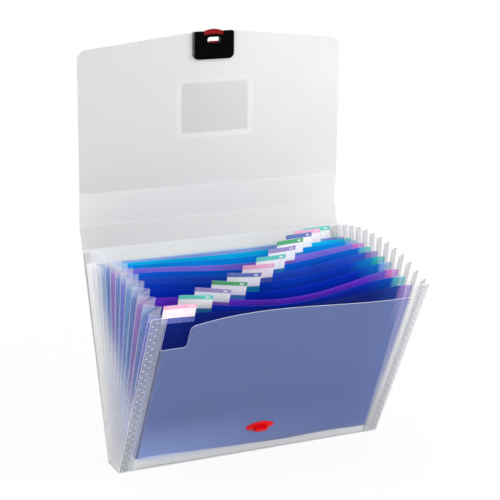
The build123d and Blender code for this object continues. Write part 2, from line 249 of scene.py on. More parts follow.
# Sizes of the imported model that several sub-assemblies share
HALF_SHEET = 0.4
HALF_WIDTH = 167.5
COVER_LENGTH = 250.0
TOP_LENGTH = 27.5
BAND_LENGTH = 40.0
BAND_LEAN = -5.8
FLAP_LEAN = -1.5
INNER_FOLD = 150.0
GUSSET_HEIGHT = 246.4
DIVIDER_TOP = 233.0
FOLD_JOINT = "front_cover_fold"
FAN = Fan()
FRONT_PANEL = FAN.sheet(0)
BACK_PANEL = FAN.sheet(FAN.pockets)
BASE_PANEL = Panel(0.0, HALF_SHEET, 90.0)
TOP_PANEL = BACK_PANEL.above(COVER_LENGTH, FAN.back_lean)
BAND_PANEL = TOP_PANEL.above(TOP_LENGTH, BAND_LEAN)
FLAP_PANEL = BAND_PANEL.above(BAND_LENGTH, FLAP_LEAN)


class Side(Enum):
    """Side of the file, with the sign of X there."""

    LEFT = -1
    RIGHT = 1


@dataclass(frozen=True)
class TintTones:
    """A divider's colours, with light and shade painted in: at its weld in painted light, seen through film in painted
    shade, in the pockets' painted shade and in painted full light.
    """

    weld: Colour
    veiled: Colour
    shaded: Colour
    lit: Colour


class Tint(TintTones, Enum):
    """Tint of a divider; the five repeat from the front."""

    VIOLET = srgb(166, 139, 212), srgb(111, 115, 219), srgb(10, 41, 157), srgb(67, 122, 221)
    TEAL = srgb(115, 215, 230), srgb(78, 144, 214), srgb(15, 43, 162), srgb(8, 124, 226)
    MAGENTA = srgb(247, 135, 223), srgb(170, 109, 205), srgb(94, 45, 177), srgb(140, 135, 227)
    BLUE = srgb(146, 197, 254), srgb(67, 124, 205), srgb(5, 41, 157), srgb(10, 155, 232)
    GREEN = srgb(56, 201, 199), srgb(87, 164, 216), srgb(10, 52, 162), srgb(10, 184, 232)

    @property
    def slot(self) -> str:
        """The record's material slot for this tint."""
        return f"divider_{self.name.lower()}"


@dataclass(frozen=True)
class TabTones:
    """Colours of a tab's card: its printed band and the paper below it."""

    band: Colour
    paper: Colour


class TabColour(TabTones, Enum):
    """Print of a tab's card; the five repeat from the front."""

    PINK = srgb(250, 172, 206), srgb(253, 241, 247)
    TURQUOISE = srgb(58, 210, 195), WHITE
    MAUVE = srgb(162, 135, 203), WHITE
    GREEN = srgb(32, 175, 89), WHITE
    BLUE = srgb(69, 98, 186), WHITE

    @property
    def slot(self) -> str:
        """The record's material slot for this card."""
        return f"tab_{self.name.lower()}"


def picked(piece: Piece) -> None:
    """Select one piece alone and make it the active one.

    Args:
        piece: The piece to select.
    """
    bpy.ops.object.select_all(action="DESELECT")
    piece.select_set(True)
    bpy.context.view_layer.objects.active = piece


@contextmanager
def editing(piece: Piece) -> Iterator[None]:
    """Edit mode on one piece, with all of it selected on the way in.

    Args:
        piece: The piece to edit.

    Returns:
        The context of the edit.
    """
    picked(piece)
    bpy.ops.object.mode_set(mode="EDIT")
    bpy.ops.mesh.select_all(action="SELECT")
    try:
        yield
    finally:
        bpy.ops.object.mode_set(mode="OBJECT")


def added(name: str, operator: Callable[..., object], **settings: object) -> Piece:
    """Run an operator that adds an object, with nothing else selected.

    Args:
        name: Name of the new piece.
        operator: The operator that adds it.
        **settings: The operator's own settings.

    Returns:
        The new piece.
    """
    bpy.ops.object.select_all(action="DESELECT")
    operator(**settings)
    piece = bpy.context.object
    piece.name = piece.data.name = name
    return piece


def reshaped(piece: Piece, place: Callable[[Vector], Sequence[float]]) -> None:
    """Move each point of a piece to the place that a function gives for it."""
    for vertex in piece.data.vertices:
        vertex.co = place(vertex.co)


def applied(piece: Piece, kind: str, **settings: object) -> None:
    """Add a modifier to a piece and apply it.

    Args:
        piece: The piece to change.
        kind: Blender's name for the kind of modifier.
        **settings: The modifier's own settings.
    """
    modifier = piece.modifiers.new(kind.lower(), kind)
    for key, value in settings.items():
        setattr(modifier, key, value)
    picked(piece)
    bpy.ops.object.modifier_apply(modifier=modifier.name)


def closed(piece: Piece, gap: float = 0.0) -> None:
    """Turn all faces of a piece outwards, after merging the points that touch.

    Args:
        piece: The closed piece.
        gap: Largest distance between points that are merged, or 0 to merge none.
    """
    with editing(piece):
        if gap:
            bpy.ops.mesh.remove_doubles(threshold=gap * MM)
        bpy.ops.mesh.normals_make_consistent(inside=False)


def smoothed(piece: Piece, degrees: float = 40.0) -> Piece:
    """Shade a piece smooth, except across its sharper edges.

    Args:
        piece: The piece to shade.
        degrees: Angle from which an edge stays sharp.

    Returns:
        The same piece.
    """
    picked(piece)
    bpy.ops.object.shade_smooth_by_angle(angle=math.radians(degrees))
    return piece


def shaped_sheet(name: str, faces: tuple[int, int], shape: Shape, thickness: float) -> Piece:
    """Thin closed sheet whose middle follows a shape.

    Args:
        name: Name of the piece.
        faces: Faces across and up.
        shape: Point in metres for a share across and a share up, each from 0 to 1.
        thickness: Thickness of the sheet.

    Returns:
        The finished piece, with the shares as its UV map.
    """
    columns, rows = faces
    piece = added(name, bpy.ops.mesh.primitive_grid_add, x_subdivisions=columns, y_subdivisions=rows,
                  size=1.0)
    reshaped(piece, lambda spot: shape(spot.x + 0.5, spot.y + 0.5))
    applied(piece, "SOLIDIFY", thickness=thickness * MM, offset=0.0, use_even_offset=True)
    return smoothed(piece)


def block(name: str, size: Triple, middle: Triple) -> Piece:
    """Plain block to shape further.

    Args:
        name: Name of the block.
        size: Its three lengths.
        middle: Its middle.

    Returns:
        The block.
    """
    piece = added(name, bpy.ops.mesh.primitive_cube_add, size=1.0)
    reshaped(piece, lambda spot: [a * length + centre for a, length, centre in zip(spot, size, middle)])
    return piece


def combined(piece: Piece, tool: Piece, operation: str) -> None:
    """Join a tool to a piece or take it away from it, by UNION or DIFFERENCE, and drop the tool."""
    applied(piece, "BOOLEAN", operation=operation, object=tool, solver="EXACT")
    bpy.data.objects.remove(tool)


def wear(piece: Piece, material: Material) -> None:
    """Put one material on a piece or on a CAD node.

    Args:
        piece: The piece, or the node's object.
        material: The material that it gets.
    """
    if not piece.material_slots:
        piece.data.materials.append(material)
    for slot in piece.material_slots:
        slot.material = material


class Painter:
    """Node tree of a material or of the surroundings, written node by node."""

    def __init__(self, owner: Material | bpy.types.World) -> None:
        """Start with an empty tree.

        Args:
            owner: Material or world that the tree belongs to.
        """
        owner.use_nodes = True
        self.owner = owner
        self.tree = owner.node_tree
        self.tree.nodes.clear()

    def put(self, socket: Socket, value: object) -> None:
        """Link a socket to another, or give it a plain value.

        Args:
            socket: Input to fill.
            value: Socket, number, colour or vector.
        """
        if isinstance(value, Socket):
            self.tree.links.new(value, socket)
        elif socket.type == "RGBA":
            socket.default_value = (*value, 1.0)
        else:
            socket.default_value = value

    def node(self, kind: str, inputs: dict[int | str, object], output: int | str = 0,
             **settings: object) -> Socket:
        """Add a node.

        Args:
            kind: Blender's name for the kind of node, without its first word.
            inputs: Values or sockets by the numbers or names of the node's inputs.
            output: Number or name of the output that is wanted.
            **settings: The node's own settings.

        Returns:
            The output.
        """
        made = self.tree.nodes.new(f"ShaderNode{kind}")
        for key, value in settings.items():
            setattr(made, key, value)
        for key, value in inputs.items():
            self.put(made.inputs[key], value)
        return made.outputs[output]

    def maths(self, operation: str, *values: object) -> Socket:
        """Result of one arithmetic step on sockets or numbers."""
        return self.node("Math", dict(enumerate(values)), operation=operation)

    def times(self, *factors: object) -> Socket:
        """Product of sockets and numbers."""
        return reduce(lambda first, second: self.maths("MULTIPLY", first, second), factors)

    def off(self, value: Socket, middle: float = 0.0) -> Socket:
        """Distance of a value from a middle, either way."""
        return self.maths("ABSOLUTE", self.maths("SUBTRACT", value, middle))

    def rise(self, value: Socket, low: float, high: float, start: float = 0.0, end: float = 1.0) -> Socket:
        """Soft step of a value, from start at low to end at high; low may lie above high."""
        limits = dict(enumerate((value, low, high, start, end)))
        return self.node("MapRange", limits, interpolation_type="SMOOTHSTEP")

    def mix(self, share: object, first: object, second: object) -> Socket:
        """Colour between two colours."""
        return self.node("Mix", {0: share, 6: first, 7: second}, 2, data_type="RGBA")

    def between(self, share: object, first: object, second: object) -> Socket:
        """Number between two numbers."""
        return self.node("Mix", {0: share, 2: first, 3: second}, data_type="FLOAT")

    def varied(self, noise: Socket, low: Colour, high: Colour) -> Socket:
        """Colour that goes from one to another with a noise."""
        return self.mix(self.rise(noise, *NOISE_SPREAD), low, high)

    def scaled(self, vector: Socket, gain: object) -> Socket:
        """Colour or place times a number."""
        return self.node("VectorMath", {0: vector, "Scale": gain}, operation="SCALE")

    def noise(self, vector: Socket, scale: float, detail: float = 2.0) -> Socket:
        """Noise from 0 to 1, with this many features to a metre."""
        return self.node("TexNoise", {"Vector": vector, "Scale": scale, "Detail": detail}, "Fac")

    def place(self, panel: Panel | None = None) -> Socket:
        """Coordinates in metres.

        Args:
            panel: Panel whose own x, s and w are wanted in place of object coordinates, if any.

        Returns:
            The coordinates.
        """
        spot = self.node("TexCoord", {}, "Object")
        if panel is None:
            return spot
        turn = (math.radians(90 - panel.lean), 0, 0)
        return self.node("Mapping", {"Vector": spot, "Location": panel.point(0, 0), "Rotation": turn},
                         vector_type="TEXTURE")

    def stretched(self, scale: Triple, detail: float = 2.0) -> Socket:
        """Noise from 0 to 1 with its own number of features to a metre along each axis."""
        return self.noise(self.node("Mapping", {"Vector": self.place(), "Scale": scale}), 1.0, detail)

    def split(self, vector: Socket) -> Sequence[Socket]:
        """The three parts of a vector."""
        return self.node("SeparateXYZ", {0: vector}).node.outputs[:]

    def measures(self, panel: Panel) -> Sequence[Socket]:
        """A panel's own x, s and w in millimetres."""
        return self.split(self.scaled(self.place(panel), 1 / MM))

    def shares(self) -> Sequence[Socket]:
        """Shares across and up from the piece's own UV map, and an unused third."""
        return self.split(self.node("TexCoord", {}, "UV"))

    def bump(self, height: Socket, depth: float, strength: float) -> Socket:
        """Normal with a relief of this depth."""
        return self.node("Bump", {"Height": height, "Distance": depth * MM, "Strength": strength})

    def close(self, kind: str, surface: Socket) -> None:
        """End the tree of a Material or a World with what it shows."""
        output = self.tree.nodes.new(f"ShaderNodeOutput{kind}")
        self.tree.links.new(surface, output.inputs["Surface"])

    def finish(self, **sockets: object) -> Material:
        """Close the tree with a Principled shader.

        Args:
            **sockets: The shader's inputs, named with _ for each space.

        Returns:
            The finished material.
        """
        inputs = {key.replace("_", " "): value for key, value in sockets.items()}
        self.close("Material", self.node("BsdfPrincipled", inputs))
        return self.owner


def painted(name: str) -> Painter:
    """Painter of a new material."""
    return Painter(bpy.data.materials.new(name))


@dataclass(frozen=True)
class Grain:
    """Fine texture of a surface: features to a metre, depth and strength of its relief, and its gloss."""

    scale: float
    depth: float
    strength: float
    roughness: Pair
    specular: float
    detail: float = 2.0
    spread: Pair = NOISE_SPREAD

    def finish(self, paint: Painter, place: Socket, **sockets: object) -> Material:
        """Close a material with this grain in its gloss and relief.

        Args:
            paint: Painter of the material.
            place: Coordinates that the grain follows.
            **sockets: The shader's other inputs.

        Returns:
            The finished material.
        """
        grain = paint.noise(place, self.scale, self.detail)
        return paint.finish(
            Roughness=paint.rise(grain, *self.spread, *self.roughness),
            Normal=paint.bump(grain, self.depth, self.strength),
            Specular_IOR_Level=self.specular,
            **sockets,
        )


@dataclass(frozen=True)
class WeldFrame:
    """Rectangular weld around the label pocket: its middle, outer half sizes, border and blur."""

    x: float = 3.0
    s: float = 91.5
    half_width: float = 49.0
    half_length: float = 35.75
    border: float = 5.5
    blur: float = 0.3

    def mask(self, paint: Painter, across: Socket, up: Socket) -> Socket:
        """1 on the weld and 0 off it.

        Args:
            paint: Painter of the material.
            across: Place across the panel.
            up: Place up the panel.

        Returns:
            The mask.
        """
        beside = paint.maths("SUBTRACT", paint.off(across, self.x), self.half_width)
        beyond = paint.maths("SUBTRACT", paint.off(up, self.s), self.half_length)
        reach = paint.maths("MAXIMUM", beside, beyond)
        inside = paint.rise(reach, self.blur, -self.blur)
        return paint.times(inside, paint.rise(reach, -self.border - self.blur, -self.border + self.blur))


@dataclass(frozen=True)
class FrostedSheet:
    """Frosted sheet: see-through, clouded, finely grained, with pressed score lines and bright cut edges, whose
    brightness is partly their own frosted look and partly a painted highlight.

    A cover that the pockets stand behind is tinted by them, and has painted light towards its left foot. A sheet may
    also carry painted shade towards its left edge.
    """

    tone: Colour
    cover: float
    edge_tone: Colour = WHITE
    edge_cover: float = 0.6
    edge_fade: Pair = (0.38, 0.32)
    line_cover: float = 0.025
    line_fade: Pair = (1.1, 0.3)
    cloud_scale: float = 6.0
    cloud_cover: float = 0.01
    cloud_spread: Pair = (0.35, 0.65)
    cloud_gains: Pair = (0.98, 1.02)
    backed_tone: Colour | None = None
    backed_cover: float = 0.35
    backed_sides: Pair = (INNER_FOLD, INNER_FOLD - 4.0)
    backed_foot: Pair = (10.0, 22.0)
    # Painted light at the backed cover's left foot: its gain, its fade up the sheet and its share across.
    foot_gain: float = 1.95
    foot_fade: Pair = (90.0, 15.0)
    foot_shares: Pair = (1.0, 0.1)
    frame_tone: Colour = srgb(230, 228, 229)
    # Painted shade: gain on the tone at the left edge, rising to 1 further right, as if lit from the right.
    left_gain: float = 1.0
    gain_end: float = 0.7 * HALF_WIDTH
    grain: Grain = Grain(5000.0, 0.03, 0.015, (0.34, 0.48), 0.12)

    def material(self, name: str, panel: Panel, score_lines: Sequence[float] = (),
                 weld_frame: WeldFrame | None = None) -> Material:
        """Material for one panel.

        Args:
            name: Name of the material.
            panel: The panel's place, which centres the pattern.
            score_lines: Heights of the pressed lines up the panel.
            weld_frame: Place of a pocket that is welded to the panel, if any.

        Returns:
            The material.
        """
        paint = painted(name)
        place = paint.place(panel)
        across, up, level = paint.measures(panel)
        cloud = paint.noise(place, self.cloud_scale)
        edge = paint.rise(paint.off(level), *self.edge_fade)
        cover = paint.rise(cloud, *NOISE_SPREAD, self.cover - self.cloud_cover, self.cover + self.cloud_cover)
        for height in score_lines:
            line = paint.rise(paint.off(up, height), *self.line_fade, 0.0, self.line_cover)
            cover = paint.maths("ADD", cover, line)
        dim, bright = (brighter(self.tone, gain) for gain in self.cloud_gains)
        tone = paint.mix(paint.rise(cloud, *self.cloud_spread), dim, bright)
        if self.backed_tone:
            backed = paint.times(paint.rise(paint.off(across), *self.backed_sides),
                                 paint.rise(up, *self.backed_foot))
            # Painted light: the backed part brightens towards its left foot.
            foot = paint.times(paint.rise(up, *self.foot_fade),
                               paint.rise(across, -HALF_WIDTH, HALF_WIDTH, *self.foot_shares))
            seen = paint.mix(foot, self.backed_tone, brighter(self.backed_tone, self.foot_gain))
            tone = paint.mix(backed, tone, seen)
            cover = paint.between(backed, cover, self.backed_cover)
        if weld_frame:
            tone = paint.mix(weld_frame.mask(paint, across, up), tone, self.frame_tone)
        # Painted shade: the tone darkens towards the left edge.
        tone = paint.scaled(tone, paint.rise(across, -HALF_WIDTH, self.gain_end, self.left_gain, 1.0))
        # Cut edges: whiter and denser, partly the sheet's own frosted edge and partly a painted highlight.
        return self.grain.finish(paint, place, Base_Color=paint.mix(edge, tone, self.edge_tone),
                                 Alpha=paint.between(edge, cover, self.edge_cover))


@dataclass(frozen=True)
class PleatFilm:
    """Thin clear film of one pleat, tinted where it is welded to its divider. Places are shares of a pleat.

    On the left the tint spreads from the inner fold, below a clear top band. On the right it keeps to the
    weld, and the outer part of the back leaf lies in shade.
    """

    side: Side
    span: Pair
    cover: float
    faded_foot: float
    tint: Colour = WHITE
    strength: float = 0.0
    tone: Colour = WHITE
    top_tone: Colour = srgb(234, 235, 236)
    top_cover: float = 0.12
    tint_fade: Pair = (0.4, 0.28)
    clear_cover: float = 0.05
    shaded_tone: Colour = srgb(190, 191, 193)
    shaded_cover: float = 0.48
    shaded_from: Pair = (0.7, 0.74)
    weld_from: Pair = (0.3, 0.32)
    weld_to: Pair = (0.51, 0.49)
    fold_tone: Colour = srgb(166, 167, 169)
    fold_from: Pair = (0.97, 0.99)
    fold_rise: Pair = (0.485, 0.5)
    fold_cover: float = 0.25
    tint_cover: float = 0.62
    tint_top: float = 0.9
    full_tint: float = 0.5
    edge: float = DIVIDER_TOP / GUSSET_HEIGHT
    edge_blur: float = 0.004
    streaks: Triple = (260.0, 260.0, 9.0)
    streak_detail: float = 1.0
    streak_spread: Pair = (0.2, 0.8)
    streak_loss: float = 0.3
    grain: Grain = Grain(5000.0, 0.02, 0.1, (0.25, 0.4), 0.2)

    def material(self, name: str) -> Material:
        """Material by the pleat's own UV map.

        Args:
            name: Name of the material.

        Returns:
            The material.
        """
        paint = painted(name)
        along, up, _ = paint.shares()
        start, end = self.span
        across = paint.maths("MULTIPLY_ADD", along, end - start, start)
        below = paint.rise(up, self.edge + self.edge_blur, self.edge - self.edge_blur)
        if self.side is Side.RIGHT:
            shade = paint.rise(across, *self.shaded_from)
            depth = paint.times(paint.rise(across, *self.weld_from), paint.rise(across, *self.weld_to))
            tone = paint.mix(shade, self.tone, self.shaded_tone)
            tone = paint.mix(paint.rise(across, *self.fold_from), tone, self.fold_tone)
            film = paint.between(shade, self.clear_cover, self.shaded_cover)
        else:
            depth = paint.rise(paint.off(across, 0.5), *self.tint_fade)
            tone = paint.mix(below, self.top_tone, self.tone)
            film = paint.between(below, self.top_cover, self.cover)
        streak = paint.rise(paint.stretched(self.streaks, self.streak_detail), *self.streak_spread,
                            (1 - self.streak_loss) * self.strength, self.strength)
        share = paint.times(depth, below, paint.rise(up, self.faded_foot, self.tint_top), streak)
        fold = paint.rise(paint.off(across, 0.5), *self.fold_rise)
        film = paint.between(share, film, self.tint_cover)
        tone = paint.mix(paint.rise(share, 0.0, self.full_tint), tone, self.tint)
        return self.grain.finish(paint, paint.place(), Base_Color=tone,
                                 Alpha=paint.maths("ADD", film, paint.times(fold, self.fold_cover)))


@dataclass(frozen=True)
class StripFilm:
    """Film of a welded strip: dull over the weld, clearer on the inner band."""

    tone: Colour
    inner_tone: Colour
    inner_cover: float
    cover: float = 0.42
    inner_fade: Pair = (157.6, 156.8)
    grain: Grain = Grain(4000.0, 0.03, 0.04, (0.28, 0.45), 0.3)

    def material(self, name: str, panel: Panel) -> Material:
        """Material for a strip on a cover.

        Args:
            name: Name of the material.
            panel: Cover that the strip is welded to.

        Returns:
            The material.
        """
        paint = painted(name)
        across, _, _ = paint.measures(panel)
        inner = paint.rise(paint.off(across), *self.inner_fade)
        return self.grain.finish(paint, paint.place(panel),
                                 Base_Color=paint.mix(inner, self.tone, self.inner_tone),
                                 Alpha=paint.between(inner, self.cover, self.inner_cover))


@dataclass(frozen=True)
class DividerSheet:
    """Tinted divider sheet with a clear hem at its foot, with painted light towards its right end and on its weld
    there.

    Light and fading are shares, and places are shares of the sheet's UV map.
    """

    tint: Tint
    light: float
    fading: float
    gain: float
    glow: float
    hem_share: float
    cover: float = 0.95
    faded_tone: Colour = srgb(227, 238, 254)
    faded_loss: float = 0.5
    glow_rise: Pair = (0.84, 0.97)
    glow_gain: float = 0.9
    weld_across: Pair = (0.96, 0.99)
    weld_up: Pair = (0.7, 0.93)
    hem_tone: Colour = WHITE
    hem_cover: float = 0.5
    hem_blur: float = 0.003
    clouds: Triple = (16.0, 16.0, 5.0)
    cloud_gains: Pair = (0.9, 1.1)
    grain: Grain = Grain(5000.0, 0.02, 0.1, (0.3, 0.42), 0.07)

    def material(self, name: str) -> Material:
        """Material by the sheet's own UV map.

        Args:
            name: Name of the material.

        Returns:
            The material.
        """
        # Painted light and shade: between the tint in painted shade, for the front pockets, and in painted light,
        # further back.
        middle = mixed(self.tint.shaded, self.tint.lit, self.light)
        middle = brighter(mixed(middle, self.faded_tone, self.fading), self.gain)
        paint = painted(name)
        across, up, _ = paint.shares()
        dim, bright = (brighter(middle, gain) for gain in self.cloud_gains)
        tone = paint.varied(paint.stretched(self.clouds), dim, bright)
        # Painted light: towards the right end the tint turns to its lit colour, as if light shone through from the
        # white pleats.
        glow = paint.rise(across, *self.glow_rise, 0.0, self.glow)
        tone = paint.mix(glow, tone, brighter(self.tint.lit, self.glow_gain))
        # Painted light on the weld at the right end, in the tint's lit weld colour.
        weld = paint.times(paint.rise(across, *self.weld_across), paint.rise(up, *self.weld_up))
        tone = paint.mix(weld, tone, self.tint.weld)
        hem = paint.rise(up, self.hem_share + self.hem_blur, self.hem_share - self.hem_blur)
        cover = self.cover * (1 - self.faded_loss * self.fading)
        return self.grain.finish(paint, paint.place(), Base_Color=paint.mix(hem, tone, self.hem_tone),
                                 Alpha=paint.between(hem, cover, self.hem_cover))


@dataclass(frozen=True)
class TabPaper:
    """Printed paper of a tab: a coloured band along the top with a small white field for its number.

    Places are shares of the card's UV map.
    """

    colour: TabColour
    band_share: float = 0.29
    band_blur: float = 0.008
    field_middle: float = 0.84
    field_half: float = 0.06
    field_radius: float = 0.0638
    field_blur: float = 0.01
    mottle_scale: float = 160.0
    paper_gain: float = 0.96
    ink_gain: float = 0.94
    grain: Grain = Grain(2200.0, 0.02, 0.1, (0.6, 0.8), 0.2, detail=4.0)

    def material(self, name: str, aspect: float) -> Material:
        """Material by the card's own UV map.

        Args:
            name: Name of the material.
            aspect: Width of the card over its height.

        Returns:
            The material.
        """
        paint = painted(name)
        across, up, _ = paint.shares()
        mottle = paint.noise(paint.place(), self.mottle_scale)
        foot = 1 - self.band_share
        band = paint.rise(up, foot - self.band_blur, foot + self.band_blur)
        straight = self.field_half - self.field_radius / aspect
        beyond = paint.maths("SUBTRACT", paint.off(across, self.field_middle), straight)
        sideways = paint.times(paint.maths("MAXIMUM", beyond, 0.0), aspect)
        upways = paint.off(up, 1 - self.band_share / 2)
        squares = paint.maths("ADD", paint.times(sideways, sideways), paint.times(upways, upways))
        outside = paint.rise(paint.maths("SQRT", squares), self.field_radius - self.field_blur,
                             self.field_radius + self.field_blur)
        paper = paint.varied(mottle, brighter(self.colour.paper, self.paper_gain), self.colour.paper)
        ink = paint.varied(mottle, brighter(self.colour.band, self.ink_gain), self.colour.band)
        return self.grain.finish(paint, paint.place(),
                                 Base_Color=paint.mix(paint.times(band, outside), paper, ink))


@dataclass(frozen=True)
class ClearFilm:
    """Clear glossy film of the tab sleeves and the label pocket, with faint scuffs."""

    cover: float = 0.06
    tone: Colour = srgb(249, 252, 255)
    cloud_scale: float = 30.0
    cloud_gain: float = 0.96
    relief: Pair = (0.05, 0.1)
    scuff_scale: float = 240.0
    scuff_detail: float = 4.0
    scuff_spread: Pair = (0.3, 0.75)
    scuff_gains: Pair = (0.85, 1.2)
    roughness: Pair = (0.14, 0.28)
    specular: float = 0.3
    foot_cover: float = 0.45
    foot_blur: float = 0.003

    def material(self, name: str, panel: Panel | None = None,
                 foot: tuple[Colour, float] | None = None) -> Material:
        """Material on object coordinates, or on a panel's own.

        Args:
            name: Name of the material.
            panel: Panel that centres the pattern, if any.
            foot: Divider tint in painted light that shows through a sleeve's two feet, and their share of its UV map,
                if any.

        Returns:
            The material.
        """
        paint = painted(name)
        place = paint.place(panel)
        scuff = paint.noise(place, self.scuff_scale, self.scuff_detail)
        cloud = paint.noise(place, self.cloud_scale)
        tone = paint.varied(cloud, brighter(self.tone, self.cloud_gain), self.tone)
        cover = paint.rise(scuff, *self.scuff_spread, *(self.cover * gain for gain in self.scuff_gains))
        if foot:
            tint, share = foot
            _, round_the_fold, _ = paint.shares()
            edge = 0.5 - share
            end = paint.rise(paint.off(round_the_fold, 0.5), edge - self.foot_blur, edge + self.foot_blur)
            tone = paint.mix(end, tone, tint)
            cover = paint.between(end, cover, self.foot_cover)
        return paint.finish(
            Base_Color=tone,
            Alpha=cover,
            Roughness=paint.rise(scuff, *self.scuff_spread, *self.roughness),
            Normal=paint.bump(cloud, *self.relief),
            Specular_IOR_Level=self.specular,
        )


@dataclass(frozen=True)
class PlainCard:
    """Blank card of the label, with fine fibres and a faint mottle."""

    tone: Colour = srgb(226, 223, 225)
    mottle_scale: float = 60.0
    mottle_detail: float = 3.0
    mottle_gain: float = 0.97
    grain: Grain = Grain(2000.0, 0.03, 0.5, (0.6, 0.8), 0.2, detail=4.0)

    def material(self, name: str) -> Material:
        """Material on object coordinates.

        Args:
            name: Name of the material.

        Returns:
            The material.
        """
        paint = painted(name)
        mottle = paint.noise(paint.place(), self.mottle_scale, self.mottle_detail)
        tone = paint.varied(mottle, brighter(self.tone, self.mottle_gain), self.tone)
        return self.grain.finish(paint, paint.place(), Base_Color=tone)


@dataclass(frozen=True)
class Moulding:
    """Glossy injection moulding with faint flow marks, and side edges that may carry a painted highlight."""

    tone: Colour
    roughness: float
    specular: float
    dulled: float = 0.1
    rub: Grain = Grain(420.0, 0.01, 0.3, (0.0, 1.0), 0.0, detail=4.0, spread=(0.35, 0.75))
    flow: Triple = (60.0, 60.0, 220.0)
    flow_detail: float = 3.0
    flow_gains: Pair = (0.88, 1.08)
    # Tone, width and patch shares of the painted highlight on the side edges.
    rubbed_tone: Colour = srgb(102, 102, 106)
    rubbed_band: float = 0.6
    rubbed_shares: Pair = (0.5, 1.0)

    def material(self, name: str, highlight_from: float | None = None) -> Material:
        """Material on object coordinates.

        Args:
            name: Name of the material.
            highlight_from: Distance off the middle from which the side edges carry a painted highlight, if any.

        Returns:
            The material.
        """
        paint = painted(name)
        flow = paint.stretched(self.flow, self.flow_detail)
        dim, bright = (brighter(self.tone, gain) for gain in self.flow_gains)
        tone = paint.varied(flow, dim, bright)
        # Painted highlight: a lighter grey in patches along the side edges, standing in for gloss on their bevels.
        if highlight_from:
            across, _, _ = paint.split(paint.place())
            edge = paint.rise(paint.off(across), highlight_from * MM, (highlight_from + self.rubbed_band) * MM)
            share = paint.times(edge, paint.rise(flow, *NOISE_SPREAD, *self.rubbed_shares))
            tone = paint.mix(share, tone, self.rubbed_tone)
        grain = replace(self.rub, roughness=(self.roughness, self.roughness + self.dulled),
                        specular=self.specular)
        return grain.finish(paint, paint.place(), Base_Color=tone)


@dataclass(frozen=True)
class Lamp:
    """Square soft lamp, aimed at a point, in metres and watts; it may be kept out of the gloss."""

    name: str
    place: Triple
    aim: Triple
    size: float
    power: float
    in_gloss: bool = True


@dataclass
class Studio:
    """Camera, pale floor, white surroundings and soft lamps, in metres."""

    camera_place: Triple = (-0.69965, -1.56671, 0.69136)
    camera_tilt: float = 75.36
    camera_turn: float = -24.23
    lens: float = 110.18
    ambient: float = 0.5
    floor_width: float = 14.0
    floor_faces: int = 8
    floor_drop: float = 0.0003
    floor_tone: Colour = (0.95, 0.95, 0.95)
    floor_reach: Pair = (0.25, 1.1)
    floor_glow: Pair = (0.87, 1.0)
    film_layers: int = 64
    lamps: tuple[Lamp, ...] = (
        Lamp("key_lamp", (-1.5, -1.8, 1.8), (0.0, 0.0, 0.2), 1.3, 15.5),
        Lamp("front_lamp", (0.8, -2.1, 0.8), (0.0, 0.0, 0.25), 1.2, 14.0),
        Lamp("side_lamp", (1.2, -0.8, 1.1), (0.15, 0.05, 0.4), 0.8, 12.4, in_gloss=False),
        Lamp("left_lamp", (-1.8, 0.6, 0.7), (-0.1, 0.0, 0.2), 0.9, 17.0, in_gloss=False),
        Lamp("top_lamp", (0.2, 0.4, 2.4), (0.0, 0.0, 0.1), 1.6, 6.5),
    )

    def build(self) -> list[Piece]:
        """Make the camera, the lamps and the floor.

        Returns:
            The floor, which is stage and not part of the object.
        """
        camera = self._placed(bpy.data.cameras.new("camera"), self.camera_place)
        camera.rotation_euler = (math.radians(self.camera_tilt), 0.0, math.radians(self.camera_turn))
        camera.data.lens = self.lens
        bpy.context.scene.camera = camera
        for lamp in self.lamps:
            light = bpy.data.lights.new(lamp.name, "AREA")
            light.size = lamp.size
            light.energy = lamp.power
            held = self._placed(light, lamp.place)
            held.visible_glossy = lamp.in_gloss
            held.rotation_euler = (Vector(lamp.aim) - Vector(lamp.place)).to_track_quat("-Z", "Y").to_euler()
        self.floor = added("floor", bpy.ops.mesh.primitive_grid_add, x_subdivisions=self.floor_faces,
                           y_subdivisions=self.floor_faces, size=self.floor_width,
                           location=(0.0, 0.0, -self.floor_drop))
        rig.stage(self.floor)
        return [self.floor]

    def _placed(self, data: bpy.types.ID, place: Triple) -> Piece:
        """Object for a camera or a light.

        Args:
            data: The camera or light, which the object is named after.
            place: Its place.

        Returns:
            The object.
        """
        held = bpy.data.objects.new(data.name, data)
        bpy.context.scene.collection.objects.link(held)
        held.location = place
        return held

    def dress(self) -> None:
        """Paint the floor and the surroundings, and set the plain view."""
        wear(self.floor, self._floor_material())
        self._surroundings()
        bpy.context.scene.view_settings.view_transform = "Standard"
        bpy.context.scene.cycles.transparent_max_bounces = self.film_layers

    def _seen(self, paint: Painter) -> Socket:
        """Mask of the rays that see the background itself: from the camera, a gloss or through glass.

        Args:
            paint: Painter of the floor or of the surroundings.

        Returns:
            1 for those rays and 0 for others.
        """
        path = paint.node("LightPath", {}).node.outputs
        seen = paint.maths("MAXIMUM", path["Is Camera Ray"], path["Is Glossy Ray"])
        return paint.maths("MAXIMUM", seen, path["Is Transmission Ray"])

    def _floor_material(self) -> Material:
        """White floor that keeps a soft shadow near the object.

        Returns:
            The floor's material.
        """
        paint = painted("pale_floor")
        reach = paint.node("VectorMath", {0: paint.place()}, "Value", operation="LENGTH")
        share = paint.times(self._seen(paint), paint.rise(reach, *self.floor_reach, *self.floor_glow))
        diffuse = paint.node("BsdfDiffuse", {"Color": self.floor_tone})
        glow = paint.node("Emission", {"Color": WHITE})
        paint.close("Material", paint.node("MixShader", {0: share, 1: diffuse, 2: glow}))
        return paint.owner

    def _surroundings(self) -> None:
        """World: white where it is seen, plain soft light elsewhere."""
        bpy.context.scene.world = bpy.data.worlds.new("surroundings")
        paint = Painter(bpy.context.scene.world)
        strength = paint.between(self._seen(paint), self.ambient, 1.0)
        paint.close("World", paint.node("Background", {"Color": WHITE, "Strength": strength}))


